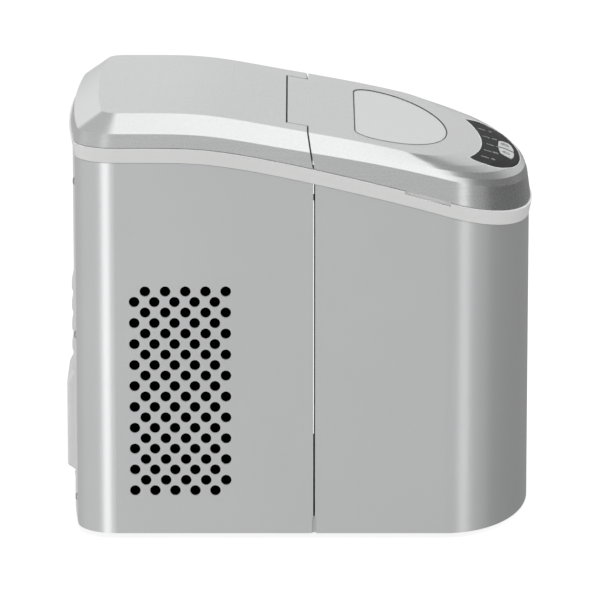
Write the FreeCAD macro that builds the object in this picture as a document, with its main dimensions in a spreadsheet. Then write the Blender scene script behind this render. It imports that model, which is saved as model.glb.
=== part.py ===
import FreeCAD, Part
import Sketcher
import functools
import math
import os
import re

# Compact bullet-ice maker.  X runs left to right, -Y is the front, +Z is up,
# and the origin is on the bench under the middle of the machine.  All sizes are in millimetres.

V = FreeCAD.Vector
X_AXIS, Y_AXIS, Z_AXIS = V(1, 0, 0), V(0, 1, 0), V(0, 0, 1)
DIMENSIONS = {
    # outer body, seen from above: a half ellipse in front, two rounded corners behind
    "body_half": 118, "nose_centre": -111, "nose_reach": 66, "rear_apex": 173,
    "corner_radius": 30, "rear_bow": 900, "foot_height": 4, "foot_radius": 9,
    # heights at the rear, from which the crown slopes down to the front
    "band_bottom": 293.3, "lid_bottom": 305, "bevel_bottom": 315, "top_level": 328,
    "seam_plane": -11.7, "seam_gap": 1.4, "rear_opening": 86,
    "panel_wall": 1.6, "lid_wall": 2.2, "plastic": 2, "band_width": 15, "rub": 0.3,
    # lid and its hinge
    "tongue_half": 81.5, "lid_gap": 1.2, "hinge_back": 1, "hinge_level": 310.6,
    "barrel": 9.2, "pin_radius": 2, "button_travel": 0.8,
    # vents in both side panels
    "vent_radius": 4, "vent_pitch": 15.2, "vent_rows": 20, "vent_row_step": 8.2,
    "vent_rear": 124, "vent_top": 193.8, "vent_shift": 8.2,
    # cold and wet side
    "tub_half": 101.5, "tub_reach": 49.5, "tub_back": -12, "tub_floor": 24, "tub_wall": 2.5,
    "basket_half": 74, "basket_back": -98, "basket_bottom": 110, "basket_top": 212,
    "pivot_back": -46, "pivot_level": 240, "tray_half": 62, "tray_depth": 32, "tray_reach": 48.5,
    "finger_pitch": 22, "finger_radius": 5, "finger_length": 28, "block_level": 244,
    "block_height": 12, "row_one": -60, "row_two": -78,
    # machine side
    "compressor_side": 32, "compressor_back": 100, "compressor_radius": 50,
    "compressor_height": 130, "mount_plate": 112, "sheet_metal": 1.5, "tray_floor_top": 7,
    "condenser_side": -101, "condenser_deep": 20, "condenser_long": 120, "condenser_high": 176,
    "fan_back": 88, "fan_level": 115, "fan_radius": 46, "shroud_side": -84, "fan_depth": 16,
    "board_level": 262, "line_radius": 3,
}
doc = FreeCAD.newDocument("ice_maker")
sheet = doc.addObject("Spreadsheet::Sheet", "Dims")
for row, (alias, value) in enumerate(DIMENSIONS.items(), start=1):
    sheet.set("A%d" % row, alias)
    sheet.set("B%d" % row, str(value))
    sheet.setAlias("B%d" % row, alias)
doc.recompute()
size = {alias: float(getattr(sheet, alias)) for alias in DIMENSIONS}
NODES = []


def bind(item, formulas):
    """Tie properties of an object to formulas of sheet aliases."""
    for path, formula in formulas.items():
        text = re.sub(r"[a-z_]{2,}", lambda m: "Dims." + m.group() if m.group() in size else m.group(),
                      str(formula))
        item.setExpression(path, text)


def place(item, at, turn=None):
    """Put an object at three formulas, after an optional turn (axis, degrees)."""
    if turn:
        item.Placement = FreeCAD.Placement(V(0, 0, 0), FreeCAD.Rotation(*turn))
    bind(item, {"Placement.Base." + letter: formula for letter, formula in zip("xyz", at)})
    return item


def node(item, label):
    """Name a finished piece, so that it is written to its own file."""
    item.Label = label
    NODES.append(item)
    return item


def block(at, long, wide, high, turn=None):
    item = doc.addObject("Part::Box", "block")
    bind(item, {"Length": long, "Width": wide, "Height": high})
    return place(item, at, turn)


def rod(at, radius, length, axis="z"):
    item = doc.addObject("Part::Cylinder", "rod")
    bind(item, {"Radius": radius, "Height": length})
    turns = {"x": (Y_AXIS, 90), "y": (X_AXIS, -90), "z": None}
    return place(item, at, turns[axis])


def cone(at, low, high, length, axis="z"):
    item = doc.addObject("Part::Cone", "cone")
    bind(item, {"Radius1": low, "Radius2": high, "Height": length})
    turns = {"x": (Y_AXIS, 90), "y": (X_AXIS, -90), "z": None}
    return place(item, at, turns[axis])


def fuse(*pieces):
    item = doc.addObject("Part::MultiFuse", "fuse")
    item.Shapes = list(pieces)
    return item


def cut(base, *tools):
    item = doc.addObject("Part::Cut", "cut")
    item.Base = base
    item.Tool = tools[0] if len(tools) == 1 else fuse(*tools)
    return item


def group(*pieces):
    """Separate solids that share one node."""
    item = doc.addObject("Part::Compound", "group")
    item.Links = list(pieces)
    return item


def shaped(shape, name="shape"):
    item = doc.addObject("Part::Feature", name)
    item.Shape = shape
    return item


def new_body(name):
    return doc.addObject("PartDesign::Body", name)


def sketch_on(body, role, lift="0"):
    plane = next(item for item in body.Origin.OriginFeatures if item.Role == role)
    sketch = body.newObject("Sketcher::SketchObject", "sketch")
    sketch.AttachmentSupport = [(plane, "")]
    sketch.MapMode = "FlatFace"
    bind(sketch, {"AttachmentOffset.Base.z": lift})
    return sketch


def rectangle(body, role, long, wide, lift="0"):
    """A sketched rectangle centred on the body's origin, its two sides bound to the sheet."""
    sketch = sketch_on(body, role, lift)
    corners = [V(-20, -10, 0), V(20, -10, 0), V(20, 10, 0), V(-20, 10, 0)]
    for i in range(4):
        sketch.addGeometry(Part.LineSegment(corners[i], corners[(i + 1) % 4]), False)
    for i in range(4):
        sketch.addConstraint(Sketcher.Constraint("Coincident", i, 2, (i + 1) % 4, 1))
    for i, kind in enumerate(("Horizontal", "Vertical", "Horizontal", "Vertical")):
        sketch.addConstraint(Sketcher.Constraint(kind, i))
    sketch.addConstraint(Sketcher.Constraint("Symmetric", 0, 1, 2, 1, -1, 1))
    for i, (name, value) in enumerate((("long", long), ("wide", wide))):
        index = sketch.addConstraint(Sketcher.Constraint("Distance", i, 30.0 + i))
        sketch.renameConstraint(index, name)
        bind(sketch, {"Constraints." + name: value})
    return sketch


def circle(body, role, radius, lift="0", across="0", up="0"):
    """A sketched circle; across and up place its centre."""
    sketch = sketch_on(body, role, lift)
    sketch.addGeometry(Part.Circle(V(5, 5, 0), Z_AXIS, 3), False)
    sketch.renameConstraint(sketch.addConstraint(Sketcher.Constraint("Radius", 0, 3.0)), "radius")
    bind(sketch, {"Constraints.radius": radius})
    if across == "0" and up == "0":
        sketch.addConstraint(Sketcher.Constraint("Coincident", 0, 3, -1, 1))
        return sketch
    for kind, name, value in (("DistanceX", "across", across), ("DistanceY", "up", up)):
        index = sketch.addConstraint(Sketcher.Constraint(kind, -1, 1, 0, 3, 5.0))
        sketch.renameConstraint(index, name)
        bind(sketch, {"Constraints." + name: value})
    return sketch


def pad(body, sketch, length):
    feature = body.newObject("PartDesign::Pad", "pad")
    feature.Profile = sketch
    bind(feature, {"Length": length})
    doc.recompute()
    return feature


def pocket(body, sketch, length):
    """Cut a sketch upwards from its plane, and prove that it removes something."""
    before = body.Shape.Volume
    feature = body.newObject("PartDesign::Pocket", "pocket")
    feature.Profile = sketch
    feature.Reversed = True
    bind(feature, {"Length": length})
    doc.recompute()
    if body.Shape.Volume > before - 0.5:
        raise SystemExit("a pocket in %s cuts nothing" % body.Label)
    return feature


def repeat(body, feature, role, length, count):
    """A row of one feature along a principal axis of the body."""
    pattern = body.newObject("PartDesign::LinearPattern", "row")
    pattern.Originals = [feature]
    axis = next(item for item in body.Origin.OriginFeatures if item.Role == role)
    pattern.Direction = (axis, [""])
    bind(pattern, {"Length": length})
    pattern.Occurrences = count
    body.Tip = pattern
    doc.recompute()
    return pattern


# ---------------------------------------------------------------- the crown and the body's plan
# Control points (y, drop) of the three long curves that fall from the rear to the front.
BAND_CURVE = ((190, 0), (150, 0), (112, 0), (70, 0), (15, 10), (-50, 25), (-110, 40.5), (-160, 56),
              (-195, 69))
BEVEL_CURVE = ((190, 0), (150, 0), (112, 0), (70, 0), (15, 10.5), (-50, 21), (-110, 34), (-160, 48.5),
               (-195, 59.5))
TOP_CURVE = ((190, 0), (150, 0), (112, 0), (70, 0), (15, 11), (-50, 22), (-110, 37), (-160, 52.5), (-195, 64))


def outline(half, centre, reach, apex, corner, bow):
    """Plan of the body at z = 0, as six edges in order: nose, side, corner, rear, corner, side."""
    inner = half - corner
    bow_centre = apex - bow
    corner_y = bow_centre + math.sqrt((bow - corner) ** 2 - inner ** 2)
    ratio = bow / (bow - corner)
    meet = V(inner * ratio, bow_centre + (corner_y - bow_centre) * ratio, 0)
    slant = math.sqrt(0.5)
    middle = V(inner + corner * slant, corner_y + corner * slant, 0)
    nose = Part.Ellipse(V(half, centre, 0), V(0, centre - reach, 0), V(0, centre, 0))

    def left(point):
        return V(-point.x, point.y, 0)

    side_front, side_rear = V(half, centre, 0), V(half, corner_y, 0)
    curves = [Part.ArcOfEllipse(nose, 0, math.pi),
              Part.LineSegment(left(side_front), left(side_rear)),
              Part.Arc(left(side_rear), left(middle), left(meet)),
              Part.Arc(left(meet), V(0, apex, 0), meet),
              Part.Arc(meet, middle, side_rear),
              Part.LineSegment(side_rear, side_front)]
    return Part.Wire([curve.toShape() for curve in curves])


def body_plan(inset=0.0, rear=0.0):
    """The body's own plan, drawn in (or out, when negative) by an inset."""
    return outline(size["body_half"] - inset, size["nose_centre"], size["nose_reach"] - inset,
                   size["rear_apex"] - inset + rear, size["corner_radius"] - inset, size["rear_bow"] - inset)


# Rims of the top casing from its flat top (share 0) down the bevel to its lower edge (share 1):
# each has the foremost point of its plan and how far its nose swells above the straight bevel.
BEVEL_RIMS = ((1.0, -175.5, 0), (0.85, -173.6, 3.5), (0.65, -168, 5.5), (0.35, -158, 4.4), (0.0, -132, 1.5))
SWELL_SHAPE = (0, 0, 0, 0, 0, 0, 0.3, 1, 1.1)


def bevel_rim(share, tip, swell, inset, drop):
    """One rim of the bevel as (plan, curve, level), drawn in and lowered."""
    def mixed(top, low):
        return top + (low - top) * share

    centre = mixed(-79, -111)
    plan = outline(mixed(103, 116.5) - inset, centre, centre - tip - inset, mixed(153, 171.5) - inset,
                   mixed(12, 28.5) - inset, size["rear_bow"] - inset)
    curve = tuple((top[0], mixed(top[1], low[1]) - swell * part)
                  for top, low, part in zip(TOP_CURVE, BEVEL_CURVE, SWELL_SHAPE))
    return plan, curve, mixed(size["top_level"], size["bevel_bottom"]) - drop * mixed(1, 0.5)


def crown(curve, level):
    """A sheet that follows one of the long curves, as wide as the machine and more."""
    line = Part.BSplineCurve()
    line.buildFromPoles([V(-200, y, level - drop) for y, drop in curve])
    return line.toShape().extrude(V(400, 0, 0))


def level_at(curve, level, y):
    """Height of a long curve above a point of the middle plane."""
    post = Part.makeLine(V(0, y, 0), V(0, y, 500))
    return post.distToShape(crown(curve, level))[1][0][0].z


SAMPLES = 24


def draped(plan, curve, level):
    """Points of a plan's edges laid on a crown, one list for each edge."""
    line = crown(curve, level).Edges[0].Curve
    for edge in crown(curve, level).Edges:
        if edge.Curve.TypeId == "Part::GeomBSplineCurve":
            line = edge.Curve
    steps = [line.value(line.FirstParameter + (line.LastParameter - line.FirstParameter) * i / 800.0)
             for i in range(801)]
    if steps[0].y > steps[-1].y:
        steps.reverse()

    def height(y):
        for before, after in zip(steps, steps[1:]):
            if y <= after.y:
                return before.z + (after.z - before.z) * (y - before.y) / (after.y - before.y)
        return steps[-1].z

    nets = []
    for edge in plan.OrderedEdges:
        ends = edge.ParameterRange if edge.Orientation == "Forward" else edge.ParameterRange[::-1]
        points = [edge.valueAt(ends[0] + (ends[1] - ends[0]) * i / SAMPLES) for i in range(SAMPLES + 1)]
        nets.append([V(p.x, p.y, height(p.y)) for p in points])
    return nets


def threaded(net):
    """A closed wire of smooth curves through the points of each edge."""
    edges = []
    for points in net:
        curve = Part.BSplineCurve()
        curve.interpolate(points)
        edges.append(curve.toShape())
    return Part.Wire(edges)


def tapered(*rims):
    """Solid whose walls run straight from rim to rim, ended below and above by the rims' crowns."""
    nets = [draped(*rim) for rim in rims]

    def beyond(inner, outer, share=0.15):
        return [[p + (p - q) * share for p, q in zip(a, b)] for a, b in zip(outer, inner)]

    def levelled(net, z):
        return [[V(p.x, p.y, z) for p in points] for points in net]

    start, end = beyond(nets[1], nets[0]), beyond(nets[-2], nets[-1])
    wires = [threaded(net) for net in [levelled(start, 100), start] + nets[1:-1] + [end, levelled(end, 400)]]
    solid = Part.makeLoft(wires, True, True)
    solid = solid.cut(crown(*rims[-1][1:]).extrude(V(0, 0, 600)))
    return solid.cut(crown(*rims[0][1:]).extrude(V(0, 0, -600)))


def column(plan, bottom, curve, level):
    """A solid from a flat bottom up to a crown."""
    high = Part.Face(plan).extrude(V(0, 0, 500))
    high.translate(V(0, 0, bottom))
    roof = crown(curve, level).extrude(V(0, 0, 600))
    return high.cut(roof)


@functools.lru_cache(maxsize=None)
def dome(inset=0.0, drop=0.0):
    """The whole top casing, drawn in and lowered to make its own hollow."""
    plan = outline(119.2 - inset, -111, 67.2 - inset, 174.2 - inset, 31.2 - inset, size["rear_bow"] - inset)
    edge = plan, BAND_CURVE, size["lid_bottom"] - drop * 2.5
    return tapered(edge, *[bevel_rim(*rim, inset, drop) for rim in BEVEL_RIMS])


def slab(x0, x1, y0, y1, z0, z1):
    return Part.makeBox(x1 - x0, y1 - y0, z1 - z0, V(x0, y0, z0))


def prism(profile, half):
    """A bar along X with a given section of (y, z) corners."""
    corners = [V(-half, y, z) for y, z in profile]
    return Part.Face(Part.makePolygon(corners + corners[:1])).extrude(V(2 * half, 0, 0))


def ring(outer, inner, bottom, curve, level):
    return column(outer, bottom, curve, level).cut(column(inner, bottom - 1, curve, level + 1))


def tube(points, radius):
    """Straight runs joined by tangent arcs, with one round section."""
    edges = []
    start = points[0]
    for before, here, after in zip(points, points[1:], points[2:]):
        back = (before - here)
        ahead = (after - here)
        reach = 0.45 * min(back.Length, ahead.Length)
        back.normalize()
        ahead.normalize()
        enter = here + back * reach
        leave = here + ahead * reach
        half = back.getAngle(ahead) / 2
        bend = reach * math.tan(half)
        middle = (back + ahead).normalize()
        apex = here + middle * (bend / math.sin(half) - bend)
        edges.append(Part.LineSegment(start, enter).toShape())
        edges.append(Part.Arc(enter, apex, leave).toShape())
        start = leave
    edges.append(Part.LineSegment(start, points[-1]).toShape())
    path = Part.Wire(edges)
    section = Part.Wire([Part.Circle(points[0], points[1] - points[0], radius).toShape()])
    pipe = path.makePipeShell([section], True, True)
    expected = math.pi * radius ** 2 * path.Length
    if abs(pipe.Volume - expected) > 0.03 * expected:
        raise SystemExit("a pipe came out with the wrong volume")
    return pipe


# ---------------------------------------------------------------- outer casing, in code: crowned shells
SEAM = size["seam_plane"]
HALF_GAP = size["seam_gap"] / 2
FOOT = size["foot_height"]
WALL = size["panel_wall"]
BAND_Z = size["band_bottom"]
REACH = 400


def panel_ring():
    return ring(body_plan(), body_plan(WALL), FOOT, BAND_CURVE, BAND_Z - size["rub"])


def vent_tool(side):
    """All the round vent holes of one side panel as one cutter."""
    holes = []
    for row in range(int(size["vent_rows"])):
        shift = 0 if row % 2 else size["vent_shift"]
        for column_number in range(5):
            y = size["vent_rear"] - shift - column_number * size["vent_pitch"]
            z = size["vent_top"] - row * size["vent_row_step"]
            start = V(side * size["body_half"] - 4, y, z)
            holes.append(Part.makeCylinder(size["vent_radius"], 8, start, X_AXIS))
    return Part.makeCompound(holes)


def seam_relief(y0, y1):
    """Room at the bottom of the seam, where the base tray shows."""
    return slab(-REACH, REACH, y0, y1, -1, FOOT + 12)


for name, side in (("left_side_panel", -1), ("right_side_panel", 1)):
    edges = sorted((side * (size["rear_opening"] + HALF_GAP), side * REACH))
    region = slab(*edges, SEAM + HALF_GAP, REACH, 0, REACH)
    wall = panel_ring().common(region).cut(vent_tool(side)).cut(seam_relief(SEAM, SEAM + HALF_GAP + 0.8))
    node(shaped(wall), name)

front = panel_ring().common(slab(-REACH, REACH, -REACH, SEAM - HALF_GAP, 0, REACH))
front = front.cut(seam_relief(SEAM - HALF_GAP - 0.8, SEAM))
drain_y, drain_z = -60, 34
front = front.cut(Part.makeCylinder(6.6, 20, V(105, drain_y, drain_z), X_AXIS))
node(shaped(front), "front_shell")

# The rear panel carries domed louvres above the hump and closes the back.
REAR_APEX = size["rear_apex"]
PLATE = 2
LOUVRES, LOUVRE_STEP, LOUVRE_BOTTOM, LOUVRE_HALF, LOUVRE_PROUD = 5, 16, 108.6, 46, 2.0
HOOD_BOW = LOUVRE_HALF ** 2 / (2 * LOUVRE_PROUD) * 0.7
rear = ring(body_plan(), body_plan(PLATE), FOOT, BAND_CURVE, BAND_Z - size["rub"])
rear_half = size["rear_opening"] - HALF_GAP
rear = rear.common(slab(-rear_half, rear_half, 100, REACH, 0, REACH))
hood_round = Part.makeCylinder(HOOD_BOW, REACH, V(0, REAR_APEX + LOUVRE_PROUD - HOOD_BOW, 0), Z_AXIS)
for number in range(LOUVRES):
    z = LOUVRE_BOTTOM + number * LOUVRE_STEP
    outer_y, sunk_y = REAR_APEX + LOUVRE_PROUD, REAR_APEX - 1.3
    hood = prism(((sunk_y - 0.4, z), (outer_y, z), (outer_y, z + 1.5), (sunk_y, z + 10.5)), LOUVRE_HALF)
    rear = rear.fuse(hood.common(hood_round))
    rear = rear.cut(slab(-LOUVRE_HALF + 6, LOUVRE_HALF - 6, REAR_APEX - 8, REAR_APEX + 0.6, z - 3.4, z + 1.6))
GLAND = (75, 40)
rear = rear.cut(Part.makeCylinder(6.2, 40, V(GLAND[0], 150, GLAND[1]), Y_AXIS))
node(shaped(rear), "rear_panel")

# The hump low on the back covers the compressor's terminals.
HUMP_LEFT, HUMP_WIDE, HUMP_OUT, HUMP_WALL, HUMP_SOFT = -2, 66, 179.5, 1.6, 2.5


def hump_block(wall):
    """The hump as a solid, drawn in by a wall: a sloping top, a short slope below."""
    x0, outer_y = HUMP_LEFT + wall, HUMP_OUT - wall
    corners = [V(x0, 160, 20.5 + wall), V(x0, REAR_APEX, 20.5 + wall), V(x0, outer_y, 25 + wall),
               V(x0, outer_y, 92 - wall), V(x0, REAR_APEX, 105.4 - wall), V(x0, 160, 105.4 - wall)]
    return Part.Face(Part.makePolygon(corners + corners[:1])).extrude(V(HUMP_WIDE - 2 * wall, 0, 0))


hump = hump_block(0)
hump = hump.makeFillet(HUMP_SOFT, [edge for edge in hump.Edges if edge.BoundBox.YMin > REAR_APEX + 1
                                   or (edge.BoundBox.YMax > REAR_APEX + 1 and edge.BoundBox.XLength < 1)])
hump = hump.cut(hump_block(HUMP_WALL)).cut(column(body_plan(-0.05), 0, BAND_CURVE, REACH))
node(shaped(hump), "rear_hump")

# Trim band: one moulding all round, hollow below, with a cross rail under the hinge.
outer = tapered((body_plan(-0.3), BAND_CURVE, BAND_Z),
                (body_plan(-2.5), BAND_CURVE, size["lid_bottom"] - size["rub"] - 0.2))
inset = size["band_width"]
band = outer.cut(column(body_plan(inset), 0, BAND_CURVE, REACH))
channel = column(body_plan(2.4), 0, BAND_CURVE, size["lid_bottom"] - 2.6).cut(
    column(body_plan(inset - 2), 0, BAND_CURVE, REACH))
band = band.cut(channel)
rail_top = level_at(BAND_CURVE, size["lid_bottom"], 10) - 8
rail = slab(-size["body_half"] + inset - 1, size["body_half"] - inset + 1, -8, 14, rail_top - 8, rail_top)
band = band.fuse(rail)
for side in (-1, 1):
    dent = slab(side * 119 - 2.6, side * 119 + 2.6, -114, -80, 0, REACH)
    band = band.cut(dent.common(crown(BAND_CURVE, size["lid_bottom"] - 3.2).extrude(V(0, 0, 40))))
node(shaped(band.removeSplitter()), "trim_band")

# ---------------------------------------------------------------- dome: lid in front, rear cover behind
shell = dome().cut(dome(size["lid_wall"], size["lid_wall"]))
shell = shell.cut(slab(-REACH, REACH, -REACH, REACH, 0, 200))
HINGE = V(0, size["hinge_back"], size["hinge_level"])
TONGUE = size["tongue_half"]
GAP = size["lid_gap"]


def front_of_seam(shift):
    """Everything in front of the slanted seam between the lid and the cover's arms."""
    corners = [V(-REACH, -300, 200), V(-REACH, -27.2 + shift, 200), V(-REACH, -2 + shift, 340),
               V(-REACH, -300, 340)]
    return Part.Face(Part.makePolygon(corners + corners[:1])).extrude(V(2 * REACH, 0, 0))


def tongue_zone(half, radius):
    """The lid's tongue reaches back over the hinge and ends round about its axis."""
    zone = slab(-half, half, -60, HINGE.y, 200, 400)
    return zone.fuse(Part.makeCylinder(radius, 2 * half, V(-half, HINGE.y, HINGE.z), X_AXIS))


lid_zone = front_of_seam(-GAP / 2).fuse(tongue_zone(TONGUE - GAP / 2, size["barrel"]))
cover_hole = front_of_seam(GAP / 2).fuse(tongue_zone(TONGUE + GAP / 2, size["barrel"] + GAP))
lid = shell.common(lid_zone)
cover = shell.cut(cover_hole)

# Rear cover: two bearing walls beside the tongue carry the hinge pins.
inner_dome = dome(size["lid_wall"] - 0.4, size["lid_wall"] - 0.4)
PIN = size["pin_radius"]
for side in (-1, 1):
    x0 = TONGUE + GAP / 2
    wall = slab(*sorted((side * x0, side * (x0 + 4))), HINGE.y - 5.6, HINGE.y + 22, 291, 330)
    cover = cover.fuse(wall.common(inner_dome))
    cover = cover.cut(Part.makeCylinder(PIN, 12, V(side * (x0 + 6) - 6, HINGE.y, HINGE.z), X_AXIS))
node(shaped(cover.removeSplitter()), "rear_top_cover")

pins = []
for side in (-1, 1):
    x0 = TONGUE - 9 if side > 0 else -(TONGUE + 7)
    pins.append(Part.makeCylinder(PIN, 16, V(x0, HINGE.y, HINGE.z), X_AXIS))
node(shaped(Part.makeCompound(pins)), "hinge_pins")

# Lid: window opening, control panel opening, and hinge ears under the tongue.
WINDOW_REAR, WINDOW_HALF, WINDOW_TIP = -42.5, 83, -113.5


def window_plan(inset):
    """Rounded D seen from above: straight behind, deep curve in front."""
    half, rear_y, tip = WINDOW_HALF - inset, WINDOW_REAR - inset, WINDOW_TIP + inset
    belly = -61
    shoulder = Part.Arc(V(half, belly, 0), V(half - 3.6, rear_y - 6.6, 0), V(half - 17, rear_y, 0)).toShape()
    other = Part.Arc(V(-half, belly, 0), V(-half + 3.6, rear_y - 6.6, 0), V(-half + 17, rear_y, 0)).toShape()
    nose = Part.Ellipse(V(half, belly, 0), V(0, tip, 0), V(0, belly, 0))
    edges = [Part.ArcOfEllipse(nose, 0, math.pi).toShape(), shoulder, other,
             Part.LineSegment(V(half - 17, rear_y, 0), V(-half + 17, rear_y, 0)).toShape()]
    return Part.Wire(Part.__sortEdges__(edges))


def crescent_plan(inset):
    """Control panel seen from above: a crescent round the nose of the lid, with blunt tips."""
    half, rear_y, tip, inner, belly = 70 - inset, -129 - inset, -169.8 + inset, -140.4 - inset, -142
    nose = Part.Ellipse(V(half, belly, 0), V(0, tip, 0), V(0, belly, 0))
    edges = [Part.ArcOfEllipse(nose, 0, math.pi).toShape(),
             Part.Arc(V(half - 6, rear_y, 0), V(0, inner, 0), V(-half + 6, rear_y, 0)).toShape()]
    for side in (-1, 1):
        edges.append(Part.Arc(V(side * half, belly, 0), V(side * (half - 1.6), rear_y - 3.6, 0),
                              V(side * (half - 6), rear_y, 0)).toShape())
    return Part.Wire(Part.__sortEdges__(edges))


def upright(plan):
    return Part.Face(plan).extrude(V(0, 0, 500))


def petal_plan(side, inset=0.0):
    """A button seen from above: a blunt petal beside the middle line, wider towards the nose."""
    x0, x1 = 1.6 + inset, 25 - inset
    y0, y1 = -152.8 - inset, -165.4 + inset
    corners = [V(side * x0, y0, 0), V(side * x0, y1, 0), V(side * x1, y1 + 2.8, 0),
               V(side * (x1 - 6), y0 - 0.8, 0)]
    bow = [Part.LineSegment(corners[0], corners[1]).toShape(),
           Part.Arc(corners[1], V(side * (x0 + 13), y1 + 0.6, 0), corners[2]).toShape(),
           Part.Arc(corners[2], V(side * (x1 - 0.8), y0 - 5, 0), corners[3]).toShape(),
           Part.LineSegment(corners[3], corners[0]).toShape()]
    return Part.Wire(Part.__sortEdges__(bow))


lens = dome(0.25, 0.25).cut(dome(3.0, 3.0)).common(upright(crescent_plan(0.35)))
lid = lid.cut(upright(window_plan(0))).cut(upright(crescent_plan(0)))
seat = dome(size["lid_wall"], size["lid_wall"]).cut(dome(3.8, 3.8))
window_lip = seat.common(upright(window_plan(-4)).cut(upright(window_plan(3))))
lid = lid.fuse(window_lip)
EAR = 5
for side in (-1, 1):
    x0 = TONGUE - GAP / 2 - EAR - 1
    ear = slab(*sorted((side * x0, side * (x0 + EAR))), HINGE.y - 26, HINGE.y, 300, 330)
    low_x = min(side * x0, side * (x0 + EAR))
    ear = ear.fuse(Part.makeCylinder(5.4, EAR, V(low_x, HINGE.y, HINGE.z), X_AXIS))
    ear = ear.common(inner_dome)
    lid = lid.fuse(ear)
    lid = lid.cut(Part.makeCylinder(PIN + 0.05, 14, V(side * x0 - 7 + side * 2, HINGE.y, HINGE.z), X_AXIS))
node(shaped(lid.removeSplitter()), "lid_shell")

pane = dome(0.3, 0.3).cut(dome(size["lid_wall"] - 0.1, size["lid_wall"] - 0.1))
node(shaped(pane.common(upright(window_plan(0.5)))), "lid_window")

for side in (-1, 1):
    lens = lens.cut(upright(petal_plan(side)))
MARKS = (-47, -23.5, 0, 23.5, 47)
lights = []
for x in MARKS:
    y = -147.2 + abs(x) * 0.12
    peg = slab(x - 0.7, x + 0.7, y - 3, y + 3, 200, 330)
    lens = lens.cut(peg)
    pipe = slab(x - 0.6, x + 0.6, y - 2.9, y + 2.9, 200, 330)
    lights.append(dome(0.3, 0.3).cut(dome(4.4, 4.4)).common(pipe))
node(shaped(lens), "control_panel")
node(shaped(Part.makeCompound(lights)), "indicator_lights")
for name, side in (("power_button", -1), ("select_button", 1)):
    cap = dome(-0.3, -0.3).cut(dome(4.6, 4.6)).common(upright(petal_plan(side, 0.35)))
    node(shaped(cap), name)

# Inside the lid: a clear inner pane that closes it, and a seal round the tub's rim.
liner_plan = outline(112.5, -111, 60.5, 100, 24, size["rear_bow"])
LINER_REAR = -14
liner = column(liner_plan, 0, BAND_CURVE, size["lid_bottom"] + 2.2).common(
    crown(BAND_CURVE, size["lid_bottom"] + 0.6).extrude(V(0, 0, 60)))
liner = liner.common(slab(-REACH, REACH, -REACH, LINER_REAR, 0, REACH))
liner = liner.common(inner_dome)
node(shaped(liner), "lid_liner")

tub_rim = size["lid_bottom"] - 2.2
seal = ring(outline(102.4, -111, 50.4, 100, 24, 900), outline(98, -111, 46, 94, 18, 900), 0, BAND_CURVE,
            size["lid_bottom"] + 0.3)
seal = seal.common(crown(BAND_CURVE, tub_rim + 0.3).extrude(V(0, 0, 60)))
seal = seal.common(slab(-REACH, REACH, -REACH, LINER_REAR - 1, 0, REACH))
node(shaped(seal), "lid_seal")
board_skin = dome(6.0, 6.0).cut(dome(7.6, 7.6)).common(upright(crescent_plan(6)))
node(shaped(board_skin), "control_board")

# ---------------------------------------------------------------- wet side
TUB_FRONT = slab(-REACH, REACH, -REACH, size["tub_back"], 0, REACH)


def tub_plan(inset):
    return outline(size["tub_half"] - inset, size["nose_centre"], size["tub_reach"] - inset, 120, 24,
                   size["rear_bow"])


WET = size["tub_wall"]
tub = column(tub_plan(0), size["tub_floor"], BAND_CURVE, tub_rim).common(TUB_FRONT)
hollow = column(tub_plan(WET), size["tub_floor"] + WET, BAND_CURVE, REACH)
tub = tub.cut(hollow.common(slab(-REACH, REACH, -REACH, size["tub_back"] - WET, 0, REACH)))
BASKET_LEDGE = size["basket_top"] - 6.3
for side in (-1, 1):
    ledge = slab(*sorted((side * 79, side * 101)), -138, -100, BASKET_LEDGE - 5, BASKET_LEDGE)
    tub = tub.fuse(ledge.common(column(tub_plan(1), 0, BAND_CURVE, tub_rim)))
SPOUT_X, SPOUT_Z = -56, 252
tub = tub.cut(Part.makeCylinder(3.2, 10, V(SPOUT_X, size["tub_back"] - 6, SPOUT_Z), Y_AXIS))
tub = tub.cut(Part.makeCylinder(5.1, 20, V(88, drain_y, drain_z), X_AXIS))
tub = tub.cut(slab(59, 71, -20, -10, 252, 264))
node(shaped(tub.removeSplitter()), "inner_tub")

foam = column(tub_plan(-0.4), size["tub_floor"] + 6, BAND_CURVE, BAND_Z - 14)
jacket = column(outline(112, -111, 60, 120, 24, 900), size["tub_floor"] + 6, BAND_CURVE, BAND_Z - 14)
jacket = jacket.cut(foam).common(slab(-REACH, REACH, -REACH, -14, 0, REACH))
jacket = jacket.cut(Part.makeCylinder(6.6, 20, V(98, drain_y, drain_z), X_AXIS))
node(shaped(jacket), "tub_insulation")

base_floor = column(body_plan(WALL + 0.8), FOOT, BAND_CURVE, REACH)
base_floor = base_floor.common(slab(-REACH, REACH, -REACH, REACH, 0, 17))
base_hollow = column(body_plan(WALL + 3.2), size["tray_floor_top"], BAND_CURVE, REACH)
base_floor = base_floor.cut(base_hollow)
FOOT_PLACES = [(x, y) for x in (-88, 88) for y in (-112, 126)]
for x, y in FOOT_PLACES:
    base_floor = base_floor.cut(Part.makeCylinder(3, 9, V(x, y, 0)))
node(shaped(base_floor), "base_tray")

# Bulkhead between the cold side and the machine side.
bulkhead = slab(-112, 112, -10.5, -8.9, 17.5, 276)
bulkhead = bulkhead.cut(Part.makeCylinder(3.4, 6, V(SPOUT_X, -13, SPOUT_Z), Y_AXIS))
bulkhead = bulkhead.cut(slab(60, 72, -13, -5, 249, 262))
node(shaped(bulkhead), "bulkhead")
tub_stand = slab(-70, 70, -140, -30, size["tray_floor_top"], size["tub_floor"]).cut(
    slab(-66, 66, -136, -34, 0, 40))
node(shaped(tub_stand), "tub_stand")

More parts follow.
